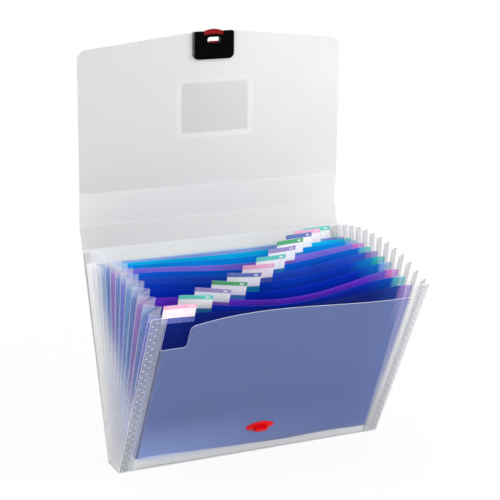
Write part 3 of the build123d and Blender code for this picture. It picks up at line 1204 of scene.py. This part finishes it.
@dataclass
class Wallet:
    """Outer sheet: base, covers, top panel, band and flap, with the welded strips and their weld dots."""

    front: FrostedSheet = FrostedSheet(srgb(212, 215, 220), 0.09, backed_tone=srgb(129, 146, 194))
    back: FrostedSheet = FrostedSheet(srgb(221, 222, 223), 0.5)
    flap: FrostedSheet = FrostedSheet(srgb(226, 225, 224), 0.7, srgb(241, 241, 241), 0.75, left_gain=0.86)
    band: FrostedSheet = replace(flap, tone=srgb(235, 234, 232), left_gain=0.93)
    dot_film: FrostedSheet = FrostedSheet(srgb(212, 214, 219), 0.16)
    bright: StripFilm = StripFilm(srgb(198, 199, 202), srgb(228, 229, 231), 0.32)
    dull: StripFilm = StripFilm(srgb(150, 156, 164), srgb(192, 203, 211), 0.2)
    cover_lines: Pair = (4.0, 246.0)
    top_lines: Pair = (3.5, 24.0)
    band_lines: Pair = (3.5, 36.5)
    dot_rows: int = 25
    dot_pitch: float = 9.6
    dot_columns: Pair = (164.2, 159.6)
    dot_size: float = 0.9
    dot_top: float = 0.495
    dot_rise: float = 0.35
    dot_sides: int = 8
    dot_smooth: float = 30.0
    dots: list[Piece] = field(default_factory=list)

    def build(self) -> list[Piece]:
        """Model the weld dots of the four strips.

        Returns:
            One piece of dots for each strip.
        """
        for panel, body, face in ((FRONT_PANEL, "front_cover", 1), (BACK_PANEL, "back_cover", -1)):
            for side in Side:
                piece = self._dots(f"{body}_{side.name.lower()}_weld_dots", panel, side, face)
                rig.ride(piece, body)
                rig.slot(piece, "gusset_film")
                self.dots.append(piece)
        return self.dots

    def _dots(self, name: str, panel: Panel, side: Side, face: int) -> Piece:
        """Two staggered columns of low domes along one strip.

        Args:
            name: Name of the piece.
            panel: Cover that the strip is welded to.
            side: Side of the file.
            face: 1 for the cover's front face, -1 for its back face.

        Returns:
            The piece, riding on nothing yet.
        """
        piece = added(name, bpy.ops.mesh.primitive_cone_add, vertices=self.dot_sides, radius1=self.dot_size,
                      radius2=self.dot_top, depth=2 * self.dot_rise)
        first, second = self.dot_columns
        half_pitch = self.dot_pitch / 2
        for count, step in ((self.dot_rows, (0.0, self.dot_pitch, 0.0)),
                            (len(self.dot_columns), (side.value * (second - first), half_pitch, 0.0))):
            applied(piece, "ARRAY", count=count, use_relative_offset=False, use_constant_offset=True,
                    constant_offset_displace=step)
        reshaped(piece, lambda spot: panel.point(side.value * first + spot.x, spot.y + half_pitch,
                                                 face * (HALF_SHEET + spot.z)))
        closed(piece)
        return smoothed(piece, self.dot_smooth)

    def dress(self) -> None:
        """Frosted sheet on the CAD panels, film on the strips and their dots."""
        nodes = frame["nodes"]
        for name, sheet, panel, lines, weld_frame in (
                ("base_panel", self.back, BASE_PANEL, (), None),
                ("front_cover", self.front, FRONT_PANEL, self.cover_lines[:1], None),
                ("back_cover", self.back, BACK_PANEL, self.cover_lines, None),
                ("top_panel", self.flap, TOP_PANEL, self.top_lines, None),
                ("flap_band", self.band, BAND_PANEL, self.band_lines, None),
                ("flap", self.flap, FLAP_PANEL, self.top_lines[:1], WeldFrame())):
            wear(nodes[name], sheet.material(f"frosted_{name}", panel, lines, weld_frame))
        for name, panel, film in (
                ("front_left", FRONT_PANEL, self.dull), ("front_right", FRONT_PANEL, self.bright),
                ("back_left", BACK_PANEL, self.bright), ("back_right", BACK_PANEL, self.bright)):
            wear(nodes[f"{name}_weld_strip"], film.material(f"{name}_weld_strip_film", panel))
        dot_film = self.dot_film.material("weld_dot_film", FRONT_PANEL)
        for piece in self.dots:
            wear(piece, dot_film)


@dataclass
class Gussets:
    """Pleated film at both sides: one pleat of film for each inner fold."""

    faces: tuple[int, int] = (8, 14)
    film: float = 0.35
    cover_set_back: float = 1.05
    outer_inset: float = 0.35
    fold_gap: float = 0.1
    foot: float = 1.6
    kept_spread: float = 0.154
    kept_end_spread: float = 0.1
    weld_gain: float = 1.35
    tint_steps: Pair = (8.5, 13.0)
    cover_steps: Pair = (8.5, 12.0)
    covers: Pair = (0.035, 0.6)
    faded_foot: float = 0.7
    faded_power: float = 1.5
    pleats: list[tuple[Piece, Side, int]] = field(default_factory=list)

    def build(self) -> list[Piece]:
        """Model the pleats of both gussets, each on the sheet that its inner fold belongs to.

        Returns:
            The pleats.
        """
        for side in Side:
            for step in range(FAN.pockets + 1):
                piece = self._pleat(side, step)
                panel = FAN.sheet(step)
                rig.ride(piece, FAN.body(step))
                keep = self.kept_end_spread if step in (1, FAN.pockets - 1) else self.kept_spread
                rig.squash(piece, FOLD_JOINT, axis=panel.facing(), anchor=panel.point(0, 0), keep=keep)
                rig.replaces(piece, f"{side.name.lower()}_gusset")
                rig.slot(piece, "gusset_film")
                self.pleats.append((piece, side, step))
        return [piece for piece, _, _ in self.pleats]

    def span(self, step: int) -> Pair:
        """Shares of a whole pleat at which one starts and ends: the covers have half a pleat each."""
        return (0.5 if step == 0 else 0.0, 0.5 if step == FAN.pockets else 1.0)

    def _pleat(self, side: Side, step: int) -> Piece:
        """V of film from one outer fold in to a sheet and out to the next outer fold.

        Args:
            side: Side of the file.
            step: Sheet of the fan at the inner fold.

        Returns:
            The pleat, riding on nothing yet.
        """
        start, end = self.span(step)
        inner = FAN.sheet(step)
        outer = {-1: FAN.sheet(step - 0.5), 1: FAN.sheet(step + 0.5)}
        set_back = {0: -self.cover_set_back, FAN.pockets: self.cover_set_back}.get(step, 0.0)
        lift = FAN.divider_axis - inner.z

        def shape(across: float, up: float) -> Vector:
            """Point of the pleat.

            Args:
                across: Share of its width.
                up: Share of its height.

            Returns:
                The point in metres.
            """
            turn = 2 * (start + (end - start) * across) - 1
            s = self.foot + (GUSSET_HEIGHT - self.foot) * up
            root = inner.point(side.value * INNER_FOLD, s + lift, set_back)
            if turn == 0:
                return root
            way = 1 if turn > 0 else -1
            tip = outer[way].point(side.value * (HALF_WIDTH - self.outer_inset), s, way * self.fold_gap)
            return root.lerp(tip, abs(turn))

        columns, rows = self.faces
        faces = (columns // 2 if end - start < 1 else columns, rows)
        return shaped_sheet(f"{side.name.lower()}_pleat_{step:02d}", faces, shape, self.film)

    def dress(self) -> None:
        """Film tinted by the divider in each pleat; the covers' own half pleats stay clear."""
        thin, thick = self.covers
        for piece, side, step in self.pleats:
            cover = thin + (thick - thin) * smooth_step(*self.cover_steps, step)
            faded_foot = self.faded_foot * (step / FAN.pockets) ** self.faded_power
            film = PleatFilm(side, self.span(step), cover, faded_foot)
            if 0 < step < FAN.pockets:
                # Left pleats take the divider's tint seen through film in painted shade; right pleats take its weld
                # colour in painted light, brightened further.
                tint = Divider(step).tint
                if side is Side.LEFT:
                    film = replace(film, tint=tint.veiled, strength=1.0 - smooth_step(*self.tint_steps, step))
                else:
                    film = replace(film, tint=brighter(tint.weld, self.weld_gain), strength=1.0)
            wear(piece, film.material(f"{piece.name}_film"))


@dataclass(frozen=True)
class Divider:
    """Place of one divider: a sheet that bows towards the front between its two welded ends."""

    number: int
    half_width: float = 149.6
    bow_reach: float = 150.0
    bow_power: float = 1.3
    bows: tuple[float, ...] = (12.0, 23.0, 31.0, 32.0, 30.0, 30.0, 30.0, 30.0, 24.0, 20.0, 14.0, 8.0)
    left_profile: float = 2.0
    first_right_profiles: Pair = (1.5, 2.0)
    full_right_profile: float = 1.35
    kept_bow: float = 0.08

    @property
    def panel(self) -> Panel:
        """The divider's flat place in the fan."""
        return FAN.sheet(self.number)

    @property
    def tint(self) -> Tint:
        """Tint of this divider."""
        return tuple(Tint)[(self.number - 1) % len(Tint)]

    @property
    def right_profile(self) -> float:
        """Power of the bow right of the middle: the sheets past the second stay full to their ends."""
        first = self.first_right_profiles
        return first[self.number - 1] if self.number <= len(first) else self.full_right_profile

    def point(self, x: float, s: float, w: float = 0.0) -> Vector:
        """Point on or off the bowed sheet.

        Args:
            x: Place across.
            s: Height up the sheet.
            w: Distance off the sheet towards the front.

        Returns:
            The point in metres.
        """
        profile = self.left_profile if x < 0 else self.right_profile
        across = max(math.cos(math.pi / 2 * min(abs(x) / self.bow_reach, 1.0)), 0.0) ** profile
        up = max(s / DIVIDER_TOP, 0.0) ** self.bow_power
        return self.panel.point(x, s, w + self.bows[self.number - 1] * across * up)

    def carry(self, piece: Piece, slot: str) -> None:
        """Let a piece ride on this divider and flatten with its bow as the file shuts.

        Args:
            piece: The piece to carry.
            slot: The record's material slot for it.
        """
        panel = self.panel
        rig.ride(piece, f"divider_{self.number:02d}")
        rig.squash(piece, FOLD_JOINT, axis=panel.facing(), anchor=panel.point(0, 0), keep=self.kept_bow)
        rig.slot(piece, slot)


DIVIDERS = tuple(Divider(number) for number in range(1, FAN.pockets))


@dataclass
class Pockets:
    """The twelve bowed divider sheets, each with a hem at its foot."""

    faces: tuple[int, int] = (60, 26)
    sheet: float = 0.4
    hem_rows: int = 3
    corner: float = 1.0
    foot: float = 0.6
    hem_heights: tuple[Pair, ...] = (
        (-150.0, 16.5), (-125.0, 18.0), (-75.0, 15.0), (-20.0, 12.3), (40.0, 10.0), (95.0, 11.5),
        (150.0, 9.5))
    lit_from: int = 5
    lit_steps: int = 5
    fading: tuple[Pair, ...] = ((11, 0.35), (12, 0.85))
    # Gain and right-end painted light of the first divider, darker in painted shade.
    first_look: Pair = (0.55, 0.25)
    gain: float = 1.5
    gain_loss: float = 0.4
    # Share of painted light at each divider's right end.
    glow: float = 0.55
    sheets: list[tuple[Piece, Divider]] = field(default_factory=list)

    @property
    def hem_share(self) -> float:
        """Share of the rows that the hem takes."""
        return self.hem_rows / self.faces[1]

    def hem(self, x: float) -> float:
        """Height of the hem's upper edge.

        Args:
            x: Place across the divider.

        Returns:
            The height.
        """
        for (left, low), (right, high) in zip(self.hem_heights, self.hem_heights[1:]):
            if x <= right:
                return low + (high - low) * smooth_step(left, right, x)
        return self.hem_heights[-1][1]

    def build(self) -> list[Piece]:
        """Model each divider as one bowed sheet down to its crease.

        Returns:
            The divider sheets.
        """
        for divider in DIVIDERS:
            piece = shaped_sheet(f"bowed_divider_{divider.number:02d}", self.faces, self._shape(divider),
                                 self.sheet)
            divider.carry(piece, divider.tint.slot)
            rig.replaces(piece, f"divider_{divider.number:02d}")
            self.sheets.append((piece, divider))
        return [piece for piece, _ in self.sheets]

    def _shape(self, divider: Divider) -> Shape:
        """Shape of one divider, with rounded upper corners and its hem on the lowest rows.

        Args:
            divider: The divider.

        Returns:
            Its point for a share across and a share up.
        """
        share = self.hem_share

        def shape(across: float, up: float) -> Vector:
            """Point of the divider.

            Args:
                across: Share of its width.
                up: Share of its height.

            Returns:
                The point in metres.
            """
            x = divider.half_width * (2 * across - 1)
            hem = self.hem(x)
            inset = max(abs(x) - (divider.half_width - self.corner), 0.0)
            top = DIVIDER_TOP - self.corner + math.sqrt(max(self.corner ** 2 - inset ** 2, 0.0))
            if round(up * self.faces[1]) <= self.hem_rows:
                return divider.point(x, self.foot + (hem - self.foot) * up / share)
            return divider.point(x, hem + (top - hem) * (up - share) / (1 - share))

        return shape

    def dress(self) -> None:
        """Tinted sheet in painted shade in the front pockets, in painted light and then paler towards the back."""
        for piece, divider in self.sheets:
            light = min(max((divider.number - self.lit_from) / self.lit_steps, 0.0), 1.0)
            fading = dict(self.fading).get(divider.number, 0.0)
            gain, glow = self.gain - self.gain_loss * light, self.glow
            # The first divider takes painted shade: a lower gain and less painted light at its right end.
            if divider is DIVIDERS[0]:
                gain, glow = self.first_look
            finish = DividerSheet(divider.tint, light, fading, gain, glow, self.hem_share)
            wear(piece, finish.material(f"divider_sheet_{divider.number:02d}"))


@dataclass
class Tabs:
    """Clear sleeve, printed card and number on the top edge of each divider, stepping to the right."""

    first_middle: float = -129.0
    last_middle: float = 129.0
    sleeve_faces: tuple[int, int] = (10, 50)
    sleeve_width: float = 38.0
    sleeve_foot: float = 221.5
    sleeve_top: float = 247.0
    sleeve_film: float = 0.2
    front_leaf: float = 0.7
    back_leaf: float = -0.35
    leaf_share: float = 0.42
    foot_lightness: float = 0.4
    card_faces: tuple[int, int] = (10, 6)
    card_width: float = 37.0
    card_foot: float = 229.0
    card_top: float = 246.6
    card_level: float = 0.4
    card_sheet: float = 0.3
    number_size: float = 3.4
    number_level: float = 0.56
    number_sheet: float = 0.02
    number_curve: int = 3
    number_gap: float = 0.001
    ink: Moulding = Moulding(srgb(46, 48, 92), 0.6, 0.1)
    sleeves: list[tuple[Piece, Tint]] = field(default_factory=list)
    cards: list[tuple[Piece, TabColour]] = field(default_factory=list)
    numbers: list[Piece] = field(default_factory=list)

    def middle(self, number: int) -> float:
        """Middle of a tab across the file."""
        return self.first_middle + (self.last_middle - self.first_middle) * (number - 1) / (len(DIVIDERS) - 1)

    def build(self) -> list[Piece]:
        """Model the sleeve, card and number of each divider.

        Returns:
            The pieces of all tabs.
        """
        for divider in DIVIDERS:
            number = divider.number
            colour = tuple(TabColour)[(number - 1) % len(TabColour)]
            sleeve = self._sleeve(divider)
            divider.carry(sleeve, "clear_film")
            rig.replaces(sleeve, f"tab_sleeve_{number:02d}")
            card = self._card(divider)
            divider.carry(card, colour.slot)
            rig.replaces(card, f"tab_card_{number:02d}")
            digits = self._number(divider)
            divider.carry(digits, colour.slot)
            self.sleeves.append((sleeve, divider.tint))
            self.cards.append((card, colour))
            self.numbers.append(digits)
        return [piece for piece, _ in (*self.sleeves, *self.cards)] + self.numbers

    def _sleeve(self, divider: Divider) -> Piece:
        """Film folded over the divider's top edge: front leaf, round fold and back leaf.

        Args:
            divider: Divider that carries the tab.

        Returns:
            The piece, riding on nothing yet.
        """
        middle = self.middle(divider.number)
        level = (self.front_leaf + self.back_leaf) / 2
        radius = (self.front_leaf - self.back_leaf) / 2
        shoulder = self.sleeve_top - self.sleeve_film / 2 - radius

        def shape(across: float, round_the_fold: float) -> Vector:
            """Point of the sleeve.

            Args:
                across: Share of its width.
                round_the_fold: Share of the way from the front foot to the back foot.

            Returns:
                The point in metres.
            """
            x = middle + self.sleeve_width * (across - 0.5)
            run = min(round_the_fold, 1 - round_the_fold) / self.leaf_share
            if run <= 1:
                w = self.front_leaf if round_the_fold < 0.5 else self.back_leaf
                return divider.point(x, self.sleeve_foot + (shoulder - self.sleeve_foot) * run, w)
            turn = math.pi * (round_the_fold - self.leaf_share) / (1 - 2 * self.leaf_share)
            return divider.point(x, shoulder + radius * math.sin(turn), level + radius * math.cos(turn))

        return shaped_sheet(f"folded_sleeve_{divider.number:02d}", self.sleeve_faces, shape, self.sleeve_film)

    def _card(self, divider: Divider) -> Piece:
        """Paper card behind the sleeve's front leaf.

        Args:
            divider: Divider that carries the tab.

        Returns:
            The piece, riding on nothing yet.
        """
        middle = self.middle(divider.number)

        def shape(across: float, up: float) -> Vector:
            """Point of the card for its shares across and up."""
            x = middle + self.card_width * (across - 0.5)
            return divider.point(x, self.card_foot + (self.card_top - self.card_foot) * up, self.card_level)

        return shaped_sheet(f"printed_card_{divider.number:02d}", self.card_faces, shape, self.card_sheet)

    def _number(self, divider: Divider) -> Piece:
        """Printed number in the white field of the card's band.

        Args:
            divider: Divider that carries the tab.

        Returns:
            The piece, riding on nothing yet.
        """
        x = self.middle(divider.number) + self.card_width * (TabPaper.field_middle - 0.5)
        s = self.card_top - (self.card_top - self.card_foot) * TabPaper.band_share / 2
        name = f"tab_number_{divider.number:02d}"
        piece = added(name, bpy.ops.object.text_add)
        text = piece.data
        text.body = str(divider.number)
        text.align_x = text.align_y = "CENTER"
        text.size = self.number_size
        text.extrude = self.number_sheet / 2
        text.resolution_u = self.number_curve
        bpy.ops.object.convert(target="MESH")
        piece.data.name = name
        reshaped(piece, lambda spot: divider.point(x + spot.x, s + spot.y, self.number_level + spot.z))
        closed(piece, self.number_gap)
        return piece

    def dress(self) -> None:
        """Clear film on the sleeves, print on the cards, dark ink on the numbers."""
        foot = self.leaf_share * (self.card_foot - self.sleeve_foot) / (self.sleeve_top - self.sleeve_foot)
        aspect = self.card_width / (self.card_top - self.card_foot)
        films, papers = {}, {}
        for tint in Tint:
            # The sleeves' feet take the divider's tint in painted light, between its lit and its weld colour.
            seen = mixed(tint.lit, tint.weld, self.foot_lightness)
            films[tint] = ClearFilm().material(f"tab_sleeve_{tint.name.lower()}", foot=(seen, foot))
        for colour in TabColour:
            papers[colour] = TabPaper(colour).material(f"tab_paper_{colour.name.lower()}", aspect)
        ink = self.ink.material("number_ink")
        for piece, tint in self.sleeves:
            wear(piece, films[tint])
        for piece, colour in self.cards:
            wear(piece, papers[colour])
        for piece in self.numbers:
            wear(piece, ink)


@dataclass
class Fittings:
    """Moulded clasp, latch and stud, the label in its pocket, and the spring that gives under the latch."""

    black: Moulding = Moulding(srgb(4, 4, 5), 0.14, 0.02)
    red: Moulding = Moulding(srgb(214, 10, 22), 0.12, 0.12)
    # The latch's darker red is painted shade, for its place deep in the clasp's eye.
    dark_red: Moulding = Moulding(srgb(132, 6, 12), 0.2, 0.1)
    pale: Moulding = Moulding(srgb(210, 210, 205), 0.35, 0.3)
    pocket_film: ClearFilm = ClearFilm(cover=0.16)
    # Distance off the clasp's middle from which its side edges get a painted highlight.
    clasp_edge: float = 24.7
    spring_foot: float = 153.62
    spring_rise: float = 6.7
    spring_runs: int = 5
    spring_half_width: float = 7.05
    spring_level: float = 0.6
    spring_depth: float = 1.6
    spring_rows: int = 2
    spring_wire: float = 0.9
    kept_spring: float = 0.71
    stud_height: float = 44.8
    stud_half_width: float = 18.0
    stud_half_length: float = 8.0
    stud_roundness: float = 1.8
    stud_sides: int = 48
    stud_smooth: float = 35.0
    stud_rim: tuple[Pair, ...] = ((0.3, 1.0), (0.8, 0.95), (1.25, 0.83), (1.5, 0.66), (1.6, 0.48))
    post_size: Triple = (15.4, 5.0, 7.2)
    post_edge: float = 1.2
    post_edge_steps: int = 4
    catch_size: Triple = (12.3, 2.4, 2.3)
    catch_level: float = 5.0
    pin_radius: float = 1.8
    pin_sides: int = 24
    pin_spread: float = 18.0
    pin_length: float = 2.4
    pin_sunk: float = 0.5

    def build(self) -> list[Piece]:
        """Model the spring and the stud, and gather the CAD nodes that stay as they are.

        Returns:
            The two pieces and the CAD nodes.
        """
        self.coil = self._spring()
        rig.ride(self.coil, "flap")
        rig.squash(self.coil, "latch_press", axis=FLAP_PANEL.point(0, 1) - FLAP_PANEL.point(0, 0),
                  anchor=FLAP_PANEL.point(0, self.spring_foot - self.spring_wire / 2), keep=self.kept_spring)
        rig.replaces(self.coil, "latch_spring")
        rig.slot(self.coil, "spring_moulding")
        self.stud = self._stud()
        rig.ride(self.stud, "front_cover")
        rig.replaces(self.stud, "stud")
        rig.slot(self.stud, "red_moulding")
        self.mouldings = {
            "clasp_shell": self.black, "clasp_back_plate": self.black, "latch": self.dark_red,
            "stud_back_plate": self.red}
        names = [*self.mouldings, "label_pocket", "label_card"]
        return [self.coil, self.stud, *(frame["nodes"][name] for name in names)]

    def _spring(self) -> Piece:
        """Flat serpentine spring between the clasp's floor and the latch.

        Returns:
            The piece, riding on nothing yet.
        """
        last = 2 * self.spring_runs - 1

        def shape(along: float, deep: float) -> Vector:
            """Point of the spring.

            Args:
                along: Share of the wire's length.
                deep: Share of the way through the clasp.

            Returns:
                The point in metres.
            """
            corner = round(along * last)
            run = corner // 2
            way = 1 if (corner + run) % 2 else -1
            s = self.spring_foot + self.spring_rise * run / (self.spring_runs - 1)
            level = self.spring_level + self.spring_depth * deep
            return FLAP_PANEL.point(way * self.spring_half_width, s, level)

        return shaped_sheet("serpentine_spring", (last, self.spring_rows), shape, self.spring_wire)

    def _stud(self) -> Piece:
        """Rounded stud: a domed foot, a post with its catch and two pins, as one body.

        Returns:
            The piece, riding on nothing yet.
        """
        piece = added("rounded_stud", bpy.ops.mesh.primitive_circle_add, vertices=self.stud_sides, radius=1.0,
                      fill_type="NGON")
        with editing(piece):
            reached, reach = 0.0, 1.0
            for height, share in self.stud_rim:
                rise = {"value": (0.0, 0.0, height - reached)}
                bpy.ops.mesh.extrude_region_move(TRANSFORM_OT_translate=rise)
                bpy.ops.transform.resize(value=(share / reach, share / reach, 1.0))
                reached, reach = height, share
        closed(piece)
        reshaped(piece, self._lozenge)
        depth, height = self.post_size[1:]
        post = block("stud_post", self.post_size, (0.0, 0.0, HALF_SHEET + height / 2))
        applied(post, "BEVEL", width=self.post_edge, segments=self.post_edge_steps)
        combined(post, block("stud_catch", self.catch_size, (0.0, depth / 2, self.catch_level)), "DIFFERENCE")
        combined(piece, post, "UNION")
        for side in Side:
            pin = added("stud_pin", bpy.ops.mesh.primitive_cylinder_add, vertices=self.pin_sides,
                        radius=self.pin_radius, depth=self.pin_length)
            shift = Vector((side.value * self.pin_spread / 2, 0.0,
                            HALF_SHEET + self.pin_sunk - self.pin_length / 2))
            reshaped(pin, lambda spot: spot + shift)
            combined(piece, pin, "UNION")
        reshaped(piece, lambda spot: FRONT_PANEL.point(spot.x, self.stud_height + spot.y, spot.z))
        return smoothed(piece, self.stud_smooth)

    def _lozenge(self, spot: Vector) -> Vector:
        """Place on the stud's foot.

        Args:
            spot: Place in a unit disc, with its height.

        Returns:
            The place, in millimetres.
        """
        turn, share = math.atan2(spot.y, spot.x), math.hypot(spot.x, spot.y)
        bulge = 2 / self.stud_roundness
        across = math.copysign(abs(math.cos(turn)) ** bulge, spot.x)
        up = math.copysign(abs(math.sin(turn)) ** bulge, spot.y)
        return Vector((across * share * self.stud_half_width, up * share * self.stud_half_length,
                       HALF_SHEET + spot.z))

    def dress(self) -> None:
        """Glossy mouldings, plain spring, clear pocket and blank card."""
        nodes = frame["nodes"]
        wear(self.stud, self.red.material("stud_moulding"))
        wear(self.coil, self.pale.material("spring_moulding"))
        for name, finish in self.mouldings.items():
            # Only the clasp shell gets the painted highlight on its side edges.
            edge = self.clasp_edge if name == "clasp_shell" else None
            wear(nodes[name], finish.material(f"{name}_moulding", edge))
        wear(nodes["label_pocket"], self.pocket_film.material("label_pocket_film", FLAP_PANEL))
        wear(nodes["label_card"], PlainCard().material("blank_label_card"))


def main() -> None:
    logging.basicConfig(level=logging.INFO, format="%(name)s: %(message)s")
    for assembly in (Studio(), Wallet(), Gussets(), Pockets(), Tabs(), Fittings()):
        pieces = assembly.build()
        assembly.dress()
        for piece in pieces:
            LOG.info("%s: %s", type(assembly).__name__, piece.name)
    boxes = {"cad": CAD_BOX, "visual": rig.bounds()}
    SIZE_FILE.write_text(json.dumps({name: [list(corner) for corner in box] for name, box in boxes.items()}))


if __name__ == "__main__":
    main()
